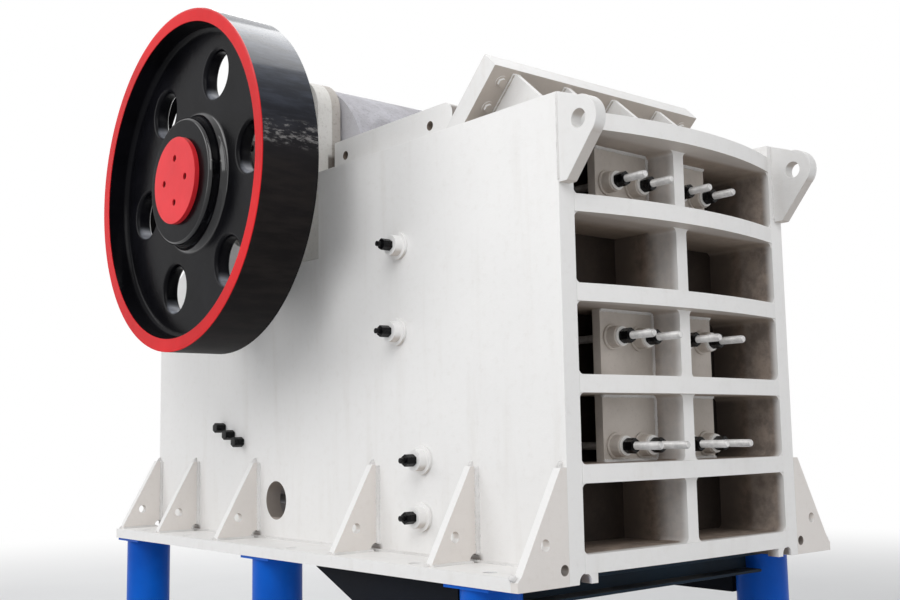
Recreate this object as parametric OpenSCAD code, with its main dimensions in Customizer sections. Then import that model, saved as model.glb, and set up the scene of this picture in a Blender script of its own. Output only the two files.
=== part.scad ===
// Jaw crusher with a welded frame, on pipe stands
// The frame is drawn in machine coordinates: x across, y from the front wall to the rear,
// z up from the underside of the frame. placed() then moves it onto the stands.

/* [Frame] */
// Width over the two side plates
frame_w = 1600; // [1500:10:1750]
// Length of the side plates
frame_l = 3690; // [3600:10:3900]
// Height of the side plates in front of the bearings
side_h = 2035; // [2010:5:2100]
// Height of the side plates at their rear edge
rear_h = 1500; // [1350:10:1700]
// Thickness of a side plate
side_t = 91; // [70:1:110]
// Where the top edge starts to slope down to the rear
slope_y = 2720; // [2700:10:2900]
// Radius of the access hole in each side plate
access_r = 103; // [60:1:130]
// Distance of the access hole from the front wall
access_y = 2237; // [2150:1:2300]
// Height of the access hole
access_z = 265; // [240:1:320]
// Height of the flat bottom of the access hole below its centre
access_flat = 92; // [70:1:98]
// Thickness of the rear wall
rear_wall_t = 60; // [40:1:80]
// Front face of the rear wall
rear_wall_y = 3270; // [3220:5:3300]
// Height of the rear wall
rear_wall_h = 1250; // [1000:10:1400]
// Depth of the ribs behind the rear wall
rear_rib_d = 200; // [120:5:240]
// Thickness of the ribs behind the rear wall
rear_rib_t = 45; // [30:1:60]
// Height of the lowest of these ribs
rear_rib_low = 440; // [400:10:500]

/* [Front wall] */
// Thickness of the plate behind the pockets
back_plate_t = 60; // [40:1:80]
// Depth of the pockets
pocket_d = 380; // [330:5:420]
// Thickness of a horizontal rib
rib_t = 76; // [60:1:90]
// Underside of the bottom plate
bottom_z = 40; // [20:1:60]
// Clear height of the lowest row of pockets. The five rows share the height of the wall in
// the proportion of their heights.
row1_h = 286; // [260:1:300]
// Clear height of the second row
row2_h = 295; // [270:1:310]
// Clear height of the third row
row3_h = 306; // [280:1:320]
// Clear height of the fourth row
row4_h = 303; // [280:1:315]
// Clear height of the top row
row5_h = 287; // [260:1:300]
// Top of the front wall below the top of the side plates
wall_drop = 62; // [40:1:80]
// How far the ribs bow out at mid width, at the bottom plate
bow_bottom = 12; // [5:1:30]
// How far the ribs bow out at mid width, at the top plate
bow_top = 110; // [60:1:140]
// Thickness of the web down the middle
web_t = 72; // [60:1:110]
// Web set back behind the front edge of the side plates
web_back = 5; // [0:1:15]
// Radius of the corners of the pockets
pocket_r = 32; // [15:1:36]
// Radius of the flared ends of the web
flare_r = 25; // [15:1:32]
// Width of the tabs at the ends of the bottom plate
tab_w = 74; // [60:1:90]
// Depth of the tabs and of the notches beside them
tab_d = 60; // [40:1:80]
// Radius of the round top of the notches
notch_r = 35; // [25:1:38]
// Height of the straight sides of the notches
notch_z = 8; // [4:1:12]
// Thickness of the bolt plates
bolt_plate_t = 45; // [30:1:60]
// Front face of the bolt plates behind the front edge
bolt_plate_y = 165; // [140:1:200]
// Half width over the bolt plates
bolt_plate_x = 395; // [380:1:450]

/* [Jaw bolts] */
// Distance of the inner bolts from the middle
bolt_in_x = 140; // [120:1:150]
// Distance of the outer bolts from the middle
bolt_out_x = 320; // [290:1:335]
// Radius of the bolt rods
bolt_r = 18; // [12:1:22]
// Radius of the sleeves
bolt_sleeve_r = 48; // [42:1:55]
// Length of a sleeve
bolt_sleeve_l = 57; // [40:1:65]
// Radius of the ring at the foot of a sleeve
sleeve_ring_r = 58; // [56:1:66]
// Thickness of the ring at the foot of a sleeve
sleeve_ring_t = 10; // [6:1:16]
// Radius of the washers
washer_r = 44; // [40:1:50]
// Thickness of the washers
washer_t = 12; // [8:1:16]
// Corner radius of the nuts
bolt_nut_r = 34; // [26:1:38]
// Length of a nut with its lock nut
bolt_nut_l = 50; // [40:1:60]
// Play of a nut on its rod
nut_play = 0.1; // [0.1:0.1:0.5]
// How far the rods reach in front of the front edge
bolt_reach = 98; // [70:1:120]

/* [Base flange] */
// Reach of the flange beside the side plate
flange_w = 286; // [240:1:320]
// Thickness of the flange
flange_t = 55; // [40:1:70]
// Thickness of the gussets
gusset_t = 40; // [25:1:50]
// Height of the gussets from the underside of the frame
gusset_h = 470; // [400:1:560]
// Width of a gusset at its top
gusset_nose = 36; // [20:1:60]
// Height of the small upright edge at the foot of a gusset
gusset_lip = 8; // [4:1:30]
// Radius of the hole in the middle of a gusset
gusset_hole_r = 24; // [15:1:32]
// Distance of that hole from the side plate
gusset_hole_x = 131; // [110:1:145]
// Height of that hole
gusset_hole_z = 170; // [150:1:190]
// Radius of the cope hole in the inner corner
cope_r = 27; // [18:1:32]
// Radius of the anchor holes
anchor_r = 30; // [20:1:40]
// Distance of the anchor holes from the middle
anchor_x = 1010; // [960:1:1030]

/* [Lifting lugs] */
// Distance of the eye in front of the front wall
lug_reach = 120; // [110:1:130]
// Depth of the eye below the top of the side plates
lug_drop = 144; // [125:1:175]
// Radius of the eye
lug_eye_r = 39; // [30:1:45]
// Outer radius round the eye
lug_r = 100; // [85:1:105]
// Thickness of the lug
lug_t = 62; // [45:1:75]
// Length of the lug down the post
lug_h = 391; // [360:1:430]

/* [Crushing chamber] */
// Thickness of a jaw plate with its teeth
jaw_t = 110; // [100:1:120]
// Depth of the teeth
tooth_d = 40; // [30:1:50]
// Pitch of the teeth
tooth_pitch = 100; // [80:1:130]
// Half width of the fixed jaw
fixed_jaw_x = 640; // [600:1:645]
// Bottom of the fixed jaw
fixed_jaw_z = 150; // [120:1:200]
// Thickness of the cheek plates
cheek_t = 59; // [40:1:65]
// Height of the cheek plates above the side plates
cheek_rise = 170; // [145:1:180]
// Gap between the cheek plates and the bearing housings
cheek_gap = 24; // [10:1:60]
// Lower edge of the cheek plates
cheek_low_z = 350; // [300:5:400]
// Height at which the rear edge of the cheek plates starts to slope
cheek_bend_z = 1500; // [1400:10:1600]
// Rear end of the cheek plates at their lower edge
cheek_low_y = 1350; // [1250:10:1400]
// Round corner at the front of the cheek plates
cheek_round = 60; // [40:1:75]
// Radius of the holes in the cheek plates
cheek_hole_r = 23; // [15:1:28]
// Height of the holes above the side plates
cheek_hole_z = 80; // [70:1:95]
// Distance of the front hole behind the guard
cheek_hole_y0 = 122; // [100:1:150]
// Distance of the rear hole from the rear end
cheek_hole_y1 = 104; // [70:1:130]
// Discharge gap between the jaws at the bottom
discharge_gap = 200; // [150:1:260]
// Lower edge of the moving jaw
jaw_low_z = 250; // [230:5:280]
// Length of the moving jaw
jaw_l = 1900; // [1800:10:1950]
// Angle between the jaws
nip_angle = 21; // [19:0.5:22]
// Half width of the pitman and the moving jaw
pitman_x = 635; // [600:1:640]
// Radius of the pitman head
head_r = 640; // [600:1:645]
// Radius of the pitman head between its rear ribs
barrel_in_r = 500; // [420:10:540]
// Thickness of the pitman's plate behind the moving jaw
pitman_plate_t = 150; // [120:5:180]
// Thickness of the pitman's rear ribs
pitman_rib_t = 80; // [50:5:110]
// Height of the toggle's seat block on the pitman above the toggle
block_up = 170; // [140:5:200]
// Height of that seat block below the toggle
block_down = 195; // [180:5:210]

/* [Feed guard] */
// Half width of the feed guard
guard_x = 735; // [730:1:790]
// Thickness of the guard
guard_t = 100; // [60:1:110]
// Angle of the guard to the floor
guard_angle = 45; // [42:0.5:47]
// Rear edge of the guard's foot on the side plates
guard_y = 833; // [815:1:860]
// Height of the guard above the side plates
guard_h = 319; // [280:1:350]
// Thickness of the guard's ribs
guard_rib_t = 30; // [20:1:45]
// Distance of the left rib from the middle
guard_rib_x = 586; // [520:1:620]
// Pitch of the guard's ribs
guard_rib_pitch = 339; // [300:1:350]

/* [Bearings and shaft] */
// Distance of the shaft from the front wall
shaft_y = 2226; // [2200:1:2250]
// Height of the shaft
shaft_z = 1981; // [1960:1:2000]
// Radius of the shaft in its bearings
shaft_r = 150; // [120:1:160]
// Radius of the eccentric part
ecc_r = 170; // [165:1:185]
// Throw of the eccentric
ecc_throw = 15; // [10:1:20]
// Running clearance of the shaft in its housings
run_gap = 0.05; // [0.03:0.01:0.09]
// Half width of the bearing housing plate
housing_w = 418; // [400:1:428]
// Height of the housing above the shaft
housing_top = 604; // [560:1:640]
// Depth of the housing below the shaft
housing_low = 420; // [380:1:450]
// Corner radius of the housing
housing_round = 190; // [120:5:220]
// Radius of the bearing barrel
barrel_r = 320; // [300:1:350]
// Outer face of the bearing barrel from the middle
barrel_x = 985; // [950:1:1000]
// Radius of the bearing cover
cover_r = 285; // [260:1:295]
// Thickness of the bearing cover
cover_t = 34; // [20:1:45]

/* [Flywheels] */
// Radius of the flywheel and of the pulley
wheel_r = 917; // [880:1:930]
// Width of the rims
wheel_w = 318; // [300:1:340]
// Outer face of the rims from the middle
wheel_x = 1440; // [1430:1:1460]
// Thickness of the rims
rim_t = 70; // [50:1:90]
// Depth of the web behind the rim face
web_set = 120; // [100:1:140]
// Thickness of the wheel's web
wheel_web_t = 90; // [60:1:110]
// Radius of the round holes in the web
web_hole_r = 125; // [100:1:130]
// Radius of the circle that the holes lie on
web_hole_pcd = 595; // [575:1:615]
// Radius of the fillets between the web, the rim and the hub
wheel_fillet = 36; // [20:1:42]
// Radius of the hub
hub_r = 345; // [320:1:350]
// How far the hub stands out from the web
hub_proud = 92; // [60:1:100]
// Radius of the end cap
cap_r = 234; // [200:1:260]
// Thickness of the end cap
cap_t = 28; // [20:1:40]
// Number of belt grooves in the pulley
grooves = 8; // [6:1:9]
// Depth of a belt groove
groove_d = 24; // [16:1:28]

/* [Toggle and tension rods] */
// Distance of the toggle's front seat from the front wall
toggle_y0 = 1420; // [1400:5:1450]
// Height of the toggle's front seat
toggle_z0 = 350; // [340:5:380]
// Length of the toggle plate between its seats
toggle_l = 920; // [900:5:950]
// Slope of the toggle plate
toggle_angle = 19; // [18:0.5:21]
// Thickness of the toggle plate
toggle_t = 62; // [50:1:75]
// Radius of the toggle plate's round ends
toggle_end_r = 45; // [40:1:50]
// Clearance of the round ends in their seats
seat_gap = 0.3; // [0.2:0.1:0.5]
// Height of the toggle seat across the toggle
toggle_seat_h = 180; // [160:5:220]
// Half width of the toggle plate
toggle_x = 540; // [480:5:560]
// Depth of the toggle seat along the toggle
toggle_seat_l = 150; // [130:5:180]
// Depth of the toggle beam along the toggle
toggle_beam_l = 480; // [440:5:500]
// Height of the toggle beam across the toggle
toggle_beam_h = 440; // [400:5:460]
// Clearance of the beam at the side plates
beam_gap = 0.3; // [0.2:0.1:1]
// Radius of the tension rods
tension_r = 30; // [22:1:36]
// Distance of the tension rods from the middle
tension_x = 360; // [300:5:420]
// Height of the tension rods
tension_z = 235; // [210:5:250]
// Outer radius of the springs
spring_r = 85; // [75:1:90]
// Length of the springs
spring_l = 240; // [220:5:260]
// Radius of the spring wire
wire_r = 14; // [10:1:15]
// Thickness of the washers behind the springs
spring_washer_t = 16; // [10:1:20]
// Length of the nuts on the tension rods
tension_nut_l = 40; // [25:1:45]

/* [Side bolts] */
// Radius of the sleeves on the side plates
side_sleeve_r = 50; // [42:1:56]
// Radius of the ring at the foot of these sleeves
side_ring_r = 68; // [60:1:80]
// Thickness of that ring
side_ring_t = 16; // [8:1:22]
// Length of the sleeves
side_sleeve_l = 58; // [40:1:70]
// Corner radius of their nuts
side_nut_r = 29; // [24:1:34]
// Length of their nuts
side_nut_l = 52; // [40:1:60]
// Radius of the bolt ends
side_bolt_r = 13; // [10:1:18]
// Reach of the bolt ends beyond the sleeves
side_bolt_l = 78; // [62:1:95]
// Corner radius of the nuts of the toggle beam
beam_nut_r = 30; // [24:1:36]
// Length of these nuts
beam_nut_l = 62; // [40:1:70]

/* [Stands] */
// Height of the stands
stand_h = 900; // [860:5:940]
// Radius of the pipes
pipe_r = 130; // [110:1:134]
// Distance of the pipes from the middle
pipe_x = 940; // [925:1:960]
// Wall of the pipes
pipe_wall = 12; // [8:1:16]
// Side of the square end plates
end_plate = 280; // [270:5:320]
// Thickness of the end plates
end_plate_t = 14; // [10:1:30]
// Depth of the front cross beam
cross_h = 100; // [80:1:130]
// Width of the front cross beam
cross_w = 200; // [160:1:240]
// Thickness of the beam's flanges and web
cross_t = 14; // [8:1:20]
// Depth of the side girders
girder_h = 230; // [180:1:260]
// Width of the side girders
girder_w = 120; // [90:1:150]
// Rear tip of the side girders
girder_y = 1532; // [1480:5:1620]
// Length of their slanted rear end
girder_slant = 480; // [400:10:560]
// Depth of the side girders at their rear tip
girder_tip = 20; // [10:1:40]

/* [Hidden] */
$fn = 48;
in_x = frame_w / 2 - side_t;
out_x = frame_w / 2;
plan_mid = (frame_l - lug_reach - lug_r) / 2;
wall_top = side_h - wall_drop;
rows_h = row1_h + row2_h + row3_h + row4_h + row5_h;
rows_fit = (wall_top - bottom_z - 6 * rib_t) / rows_h;
row_h = rows_fit * [row1_h, row2_h, row3_h, row4_h, row5_h];
function rib_z(i) = i == 0 ? bottom_z : rib_z(i - 1) + rib_t + row_h[i - 1];
wall_y = pocket_d + back_plate_t;
function bow(i) = bow_bottom + (bow_top - bow_bottom) * i / 5;
// Rows of pockets with jaw bolts, the height of the bolts as a share of the row, and the
// reach of their rods as a share of the longest
jaw_rows = [[1, 0.238, 1], [2, 0.595, 0.84], [4, 0.435, 0.67]];
function jaw_bolt_z(row) = row[1] * row_h[row[0]];
bolt_xs = [-bolt_out_x, -bolt_in_x, bolt_in_x, bolt_out_x];
sleeve_y = bolt_plate_y - bolt_sleeve_l;
nut_y = sleeve_y - washer_t;
gusset_ys = [gusset_t / 2, 571, 1304, 2441, 3163, frame_l - gusset_t / 2];
gusset_foot = out_x + flange_w - 23;
cope_in = 18;
cope_up = 10;
anchor_end = 270;
anchor_ys = [241, 732, 1742, 2870, frame_l - anchor_end];
housing_y0 = shaft_y - housing_w;
housing_y1 = shaft_y + housing_w;
seat_z = shaft_z - housing_low;
housing_in_x = pitman_x + 15;
jaw_front_y = wall_y + jaw_t + discharge_gap;
bore_gap = 10;
cheek_top = side_h + cheek_rise;
cheek_y1 = housing_y0 - cheek_gap;
cheek_y0 = wall_y + jaw_t + 5;
cheek_nose_y = guard_y - 49;
lug_z = side_h - lug_drop;
lug_tail = [-47, side_h - lug_h];
notch_x = in_x - 2;
shaft_pt = [shaft_y, shaft_z];
rib_foot_y = 130;
rib_reach = 236;
hub_round = 22;
hub_fillet = 48;
hole_round = 25;
hub_back = 20;
cap_hole_r = 18;
cap_hole_pcd = 120;
seat_x = toggle_x + 30;
rear_face_y = rear_wall_y + rear_wall_t;
function rear_rib_z(i) = rear_rib_low + (rear_wall_h - rear_rib_t - rear_rib_low) * i / 2;
spring_end_y = rear_face_y + spring_l;
rod_play = 8;
rod_tip = 25;
block_foot = 60;
pocket_low = 560;
pocket_lip = 60;
pitman_pitch = (2 * pitman_x - pitman_rib_t) / 3;
side_bolts = [[1095, 1528], [1111, 1108], [929, 494], [935, 232]];
beam_bolts = [[2833, 672], [2722, 629], [2615, 587]];
stand_end = 160;
pipe_ys = [315, 1990, frame_l - stand_end];
cut = 1;

// Turns a point of a side view by an angle
function turn_pt(p, a) = [p[0] * cos(a) - p[1] * sin(a), p[0] * sin(a) + p[1] * cos(a)];

// Points of the side view given along the moving jaw and along the toggle plate
function jaw_pt(p) = [jaw_front_y, jaw_low_z] + turn_pt(p, -nip_angle);
function seat_pt(p) = [toggle_y0, toggle_z0] + turn_pt(p, toggle_angle);

// Where a line from point p touches a circle of radius r - 1 on its side s. The line then cuts
// the rim of the full circle cleanly.
function touch_pt(p, c, r, s) = let (d = c - p, far = norm(d), near = r - 1,
    a = atan2(d[1], d[0]) + s * asin(near / far))
    p + sqrt(far * far - near * near) * [cos(a), sin(a)];

// Rear top corner of the pitman's seat block, and where its back runs into the head
pitman_block = seat_pt([0, block_up]);
pitman_touch = touch_pt(pitman_block, shaft_pt, head_r, -1);
lug_touch = touch_pt(lug_tail, [-lug_reach, lug_z], lug_r, 1);

// Points of an arc in a profile
function arc_pts(c, r, a0, a1, n = 6) = [for (i = [0:n]) let (a = a0 + (a1 - a0) * i / n)
    c + r * [cos(a), sin(a)]];

cream = "#e6e1d6";
black = "#17181a";
steel = "#b9bbbd";
red = "#c8282b";
blue = "#1c4fc4";
navy = "#141c26";
grey = "#8d8a96";

// Moves the machine onto its stands, centred in plan
module placed() translate([0, -plan_mid, stand_h]) children();

// Extrudes a profile drawn in y and z from x0 to x1
module slab_x(x0, x1) translate([x0, 0, 0]) rotate([90, 0, 90]) linear_extrude(x1 - x0) children();

// Extrudes a profile drawn in x and z from y0 to y1
module slab_y(y0, y1) translate([0, y1, 0]) rotate([90, 0, 0]) linear_extrude(y1 - y0) children();

// Extrudes a profile drawn in x and y from z0 to z1
module slab_z(z0, z1) translate([0, 0, z0]) linear_extrude(z1 - z0) children();

// A round bar along x
module bar_x(x0, x1, r, y, z) translate([x0, y, z]) rotate([0, 90, 0]) cylinder(h = x1 - x0, r = r);

// A round bar along y
module bar_y(y0, y1, r, x, z) translate([x, y1, z]) rotate([90, 0, 0]) cylinder(h = y1 - y0, r = r);

// A hexagonal nut along x
module nut_x(x0, x1, r, y, z)
    translate([x0, y, z]) rotate([0, 90, 0]) cylinder(h = x1 - x0, r = r, $fn = 6);

// A hexagonal nut along y
module nut_y(y0, y1, r, x, z)
    translate([x, y1, z]) rotate([90, 0, 0]) cylinder(h = y1 - y0, r = r, $fn = 6);

// Turns a profile of radius and x about the shaft
module turned() translate([0, shaft_y, shaft_z]) rotate([0, 90, 0]) rotate_extrude() children();

// Puts something on the left side, or mirrored on the right side
module on_side(s) mirror([s > 0 ? 1 : 0, 0, 0]) children();

// Outline of a side plate in y and z, with its access hole
module side_profile() difference() {
    polygon([[0, 0], [0, side_h], [housing_y0, side_h], [housing_y0, seat_z],
        [housing_y1, seat_z], [housing_y1, side_h], [slope_y, side_h],
        [frame_l, rear_h], [frame_l, 0]]);
    translate([access_y, access_z]) intersection() {
        circle(access_r);
        translate([-access_r, -access_flat]) square(2 * access_r);
    }
}

// Notch with a round top at the foot of the front wall, drawn on the left side
module foot_notch() slab_y(-cut, tab_d) {
    translate([-notch_x, notch_z]) circle(notch_r);
    translate([-notch_x - notch_r, -cut]) square([2 * notch_r, notch_z + cut]);
}

module side_plate(s) color(cream) placed() on_side(s) difference() {
    slab_x(-out_x, -in_x) side_profile();
    foot_notch();
}

module front_back_plate() color(cream) placed()
    translate([-in_x, pocket_d, bottom_z])
        cube([2 * in_x, back_plate_t, wall_top - bottom_z]);

// A rib whose front edge bows out by b at mid width
module bowed_rib(i) {
    b = bow(i);
    r = (in_x * in_x + b * b) / (2 * b);
    slab_z(rib_z(i), rib_z(i) + rib_t) {
        translate([-in_x, 0]) square([2 * in_x, pocket_d]);
        intersection() {
            translate([0, r - b]) circle(r, $fn = 360);
            translate([-in_x, -b - cut]) square([2 * in_x, b + 2 * cut]);
        }
    }
}

// Corner of a pocket at a side plate, filled to a round one, in x and z
module pocket_corner() difference() {
    translate([-in_x, 0]) square(pocket_r);
    translate([-in_x + pocket_r, pocket_r]) circle(pocket_r);
}

// The corners above and below rib i, at both side plates
module rib_corners(i) slab_y(web_back, pocket_d) for (s = [0, 1]) mirror([s, 0]) {
    if (i < 5) translate([0, rib_z(i) + rib_t]) pocket_corner();
    if (i > 0) translate([0, rib_z(i)]) mirror([0, 1]) pocket_corner();
}

module wall_rib(i) {
    bowed_rib(i);
    rib_corners(i);
}

module front_ribs() color(cream) placed() for (i = [1:4]) wall_rib(i);
module front_top_plate() color(cream) placed() wall_rib(5);

module front_bottom_plate() color(cream) placed() {
    wall_rib(0);
    for (s = [-1, 1]) on_side(s) difference() {
        translate([-in_x, 0, 0]) cube([tab_w, tab_d, bottom_z]);
        foot_notch();
    }
}

// One length of the web, which flares at its ends in front of the bolt plates
module web_piece(h) {
    translate([-web_t / 2, web_back, 0]) cube([web_t, pocket_d - web_back, h]);
    slab_y(web_back, bolt_plate_y - 2) for (s = [0, 1], e = [0, 1]) mirror([s, 0])
        translate([0, e * h]) mirror([0, e]) difference() {
            translate([web_t / 2, 0]) square(flare_r);
            translate([web_t / 2 + flare_r, flare_r]) circle(flare_r);
        }
}

module front_center_web() color(cream) placed() for (i = [0:4])
    translate([0, 0, rib_z(i) + rib_t]) web_piece(row_h[i]);

module bolt_plates() color(cream) placed() for (row = jaw_rows, s = [0, 1])
    mirror([s, 0, 0]) translate([web_t / 2, bolt_plate_y, rib_z(row[0]) + rib_t])
        difference() {
            cube([bolt_plate_x - web_t / 2, bolt_plate_t, row_h[row[0]]]);
            for (x = [bolt_in_x, bolt_out_x])
                bar_y(-cut, bolt_plate_t + cut, bolt_r + 2, x - web_t / 2, jaw_bolt_z(row));
        }

// Repeats a bolt part, drawn along y, at every jaw bolt
module at_jaw_bolts() placed() for (row = jaw_rows, x = bolt_xs) {
    $reach = bolt_reach * row[2];
    translate([x, 0, rib_z(row[0]) + rib_t + jaw_bolt_z(row)]) children();
}

module jaw_bolt_sleeves() color(cream) at_jaw_bolts() difference() {
    union() {
        bar_y(sleeve_y, bolt_plate_y, bolt_sleeve_r, 0, 0);
        bar_y(bolt_plate_y - sleeve_ring_t, bolt_plate_y, sleeve_ring_r, 0, 0);
    }
    bar_y(sleeve_y - cut, bolt_plate_y + cut, bolt_r + 2, 0, 0);
}

module jaw_bolt_washers() color(cream) at_jaw_bolts() difference() {
    bar_y(nut_y, sleeve_y, washer_r, 0, 0);
    bar_y(nut_y - cut, sleeve_y + cut, bolt_r + 2, 0, 0);
}

module jaw_bolt_nuts() color(black) at_jaw_bolts() difference() {
    nut_y(nut_y - bolt_nut_l, nut_y, bolt_nut_r, 0, 0);
    bar_y(nut_y - bolt_nut_l - cut, nut_y + cut, bolt_r + nut_play, 0, 0);
}

module jaw_bolt_rods() color(steel) at_jaw_bolts() bar_y(-$reach, pocket_d, bolt_r, 0, 0);

module base_flange(s) color(cream) placed() on_side(s) difference() {
    translate([-out_x - flange_w, gusset_t, 0]) cube([flange_w, frame_l - gusset_t, flange_t]);
    for (y = anchor_ys) translate([-anchor_x, y, -cut]) cylinder(h = flange_t + 2 * cut, r = anchor_r);
}

// Outline of a gusset in x and z, from the side plate outwards, above the points of its foot
module gusset_profile(foot) difference() {
    polygon(concat([[-out_x, gusset_h], [-out_x - gusset_nose, gusset_h],
        [-gusset_foot, flange_t + gusset_lip]], foot));
    translate([-out_x - gusset_hole_x, gusset_hole_z]) circle(gusset_hole_r);
}

module gussets(s) color(cream) placed() on_side(s) {
    slab_y(0, gusset_t) difference() {
        gusset_profile([[-out_x - flange_w, flange_t - 15], [-out_x - flange_w, 0], [-out_x, 0]]);
        translate([-out_x - cope_r, flange_t + cope_up]) circle(cope_r * 0.8);
    }
    for (i = [1:5]) slab_y(gusset_ys[i] - gusset_t / 2, gusset_ys[i] + gusset_t / 2)
        difference() {
            gusset_profile([[-gusset_foot, flange_t], [-out_x, flange_t]]);
            translate([-out_x - cope_in, flange_t + cope_up]) circle(cope_r);
        }
}

module lug_profile() difference() {
    union() {
        polygon([[0, side_h], [-lug_reach, lug_z + lug_r], [-lug_reach, lug_z], lug_touch, lug_tail,
            [0, side_h - lug_h]]);
        translate([-lug_reach, lug_z]) circle(lug_r);
    }
    translate([-lug_reach, lug_z]) circle(lug_eye_r);
}

module lifting_lug(s) color(cream) placed() on_side(s)
    slab_x(-out_x, -out_x + lug_t) lug_profile();

module side_bolt_sleeves() color(cream) placed() for (s = [-1, 1], p = side_bolts) on_side(s) {
    bar_x(-out_x - side_sleeve_l, -out_x, side_sleeve_r, p[0], p[1]);
    bar_x(-out_x - side_ring_t, -out_x, side_ring_r, p[0], p[1]);
}

module side_bolt_ends() color(black) placed() for (s = [-1, 1], p = side_bolts) on_side(s) {
    x0 = -out_x - side_sleeve_l;
    nut_x(x0 - side_nut_l, x0, side_nut_r, p[0], p[1]);
    bar_x(x0 - side_bolt_l, x0, side_bolt_r, p[0], p[1]);
}

module beam_bolts() color(black) placed() for (s = [-1, 1], p = beam_bolts) on_side(s)
    nut_x(-out_x - beam_nut_l, -out_x, beam_nut_r, p[0], p[1]);

// The cheek plate stands above the side plate behind the feed guard
module cheek_profile() difference() {
    polygon(concat([[cheek_y0, cheek_low_z], [cheek_y0, side_h - 15], [guard_y + 20, side_h - 15],
        [cheek_nose_y, side_h + 90]],
        arc_pts([cheek_nose_y + cheek_round, cheek_top - cheek_round], cheek_round, 180, 90),
        [[cheek_y1, cheek_top], [cheek_y1, cheek_bend_z], [cheek_low_y, cheek_low_z]]));
    for (y = [guard_y + cheek_hole_y0, cheek_y1 - cheek_hole_y1]) translate([y, side_h + cheek_hole_z])
        circle(cheek_hole_r);
}

module cheek_plate(s) color(cream) placed() on_side(s)
    slab_x(-in_x, -in_x + cheek_t) cheek_profile();

// Teeth across the width w, backed by a plate, in x and y
module jaw_section(w) {
    n = floor(w / tooth_pitch);
    base = jaw_t - tooth_d;
    half = n * tooth_pitch / 2;
    polygon(concat([[-w / 2, 0], [-w / 2, base]],
        [for (i = [0:n - 1], k = [0:3]) [-half + (i + [0.1, 0.4, 0.6, 0.9][k]) * tooth_pitch,
            base + (k == 0 || k == 3 ? 0 : tooth_d)]],
        [[w / 2, base], [w / 2, 0]]));
}

module fixed_jaw() color(grey) placed() translate([0, wall_y, 0])
    slab_z(fixed_jaw_z, wall_top - 40) jaw_section(2 * fixed_jaw_x);

// Frame along the moving jaw: the face runs up from its lower edge, y points to the rear
module along_jaw() translate([0, jaw_front_y, jaw_low_z]) rotate([-nip_angle, 0, 0]) children();

module moving_jaw() color(grey) placed() along_jaw()
    translate([0, jaw_t, 0]) mirror([0, 1, 0]) linear_extrude(jaw_l) jaw_section(2 * pitman_x);

// Side view of the pitman below its head: plate behind the moving jaw, and toggle's seat block
module pitman_profile() polygon([jaw_pt([jaw_t, -block_foot]), jaw_pt([jaw_t, jaw_l + block_foot]),
    shaft_pt, pitman_touch, pitman_block, seat_pt([0, -block_down]),
    jaw_pt([jaw_t + pitman_plate_t, -block_foot])]);

// Side view of a rear pocket between two ribs, from the seat block up to the head's barrel
module pitman_pocket_profile() difference() {
    polygon([jaw_pt([jaw_t + pitman_plate_t, pocket_low]), jaw_pt([jaw_t + pitman_plate_t, jaw_l]),
        shaft_pt, shaft_pt + [2 * head_r, -head_r / 2], pitman_block + [head_r, head_r / 4],
        pitman_block + turn_pt([0, pocket_lip], toggle_angle)]);
    translate(shaft_pt) circle(barrel_in_r);
}

module pitman() color(grey) placed() difference() {
    union() {
        slab_x(-pitman_x, pitman_x) pitman_profile();
        bar_x(-pitman_x, pitman_x, head_r, shaft_y, shaft_z);
    }
    bar_x(-pitman_x - cut, pitman_x + cut, ecc_r + ecc_throw + bore_gap, shaft_y, shaft_z);
    bar_x(-pitman_x - cut, pitman_x + cut, toggle_end_r + seat_gap, toggle_y0, toggle_z0);
    for (i = [0:2]) translate([-pitman_x + pitman_rib_t + i * pitman_pitch, 0, 0])
        slab_x(0, pitman_pitch - pitman_rib_t) pitman_pocket_profile();
}

// The guard in side view, cut level where it stands on the side plates
module feed_guard() color(cream) placed() slab_x(-guard_x, guard_x) {
    foot = guard_t / sin(guard_angle);
    run = guard_h / tan(guard_angle);
    polygon([[guard_y, side_h], [guard_y - run, side_h + guard_h],
        [guard_y - run - guard_t * sin(guard_angle), side_h + guard_h - guard_t * cos(guard_angle)],
        [guard_y - foot, side_h]]);
}

// Ribs between the front wall and the underside of the guard
module feed_guard_ribs() color(cream) placed() for (i = [0:3])
    translate([-guard_rib_x + i * guard_rib_pitch, 0, 0])
        slab_x(-guard_rib_t / 2, guard_rib_t / 2) {
            y0 = guard_y - guard_t / sin(guard_angle);
            slope = tan(guard_angle);
            polygon([[rib_foot_y, wall_top], [wall_y, wall_top], [y0 - 25, side_h + 25 * slope],
                [y0 - rib_reach, side_h + rib_reach * slope]]);
        }

module housing_plate() {
    r = housing_round;
    translate([-housing_w, -housing_low]) square([2 * housing_w, housing_low + housing_top - r]);
    translate([-housing_w + r, 0]) square([2 * (housing_w - r), housing_top]);
    for (s = [-1, 1]) translate([s * (housing_w - r), housing_top - r]) circle(r);
}

module bearing_housing(s) color(cream) placed() on_side(s) difference() {
    union() {
        slab_x(-out_x, -housing_in_x) translate([shaft_y, shaft_z]) housing_plate();
        bar_x(-barrel_x, -housing_in_x, barrel_r, shaft_y, shaft_z);
    }
    bar_x(-barrel_x - cut, -housing_in_x + cut, shaft_r + run_gap, shaft_y, shaft_z);
}

module bearing_covers() color(cream) placed() for (s = [-1, 1]) on_side(s) difference() {
    bar_x(-barrel_x - cover_t, -barrel_x, cover_r, shaft_y, shaft_z);
    bar_x(-barrel_x - cover_t - cut, -barrel_x + cut, shaft_r + 3, shaft_y, shaft_z);
}

hub_out_x = wheel_x - web_set + hub_proud;

module eccentric_shaft() color(steel) placed() {
    bar_x(-hub_out_x, hub_out_x, shaft_r, shaft_y, shaft_z);
    bar_x(-pitman_x + 20, pitman_x - 20, ecc_r, shaft_y, shaft_z - ecc_throw);
}

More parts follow.
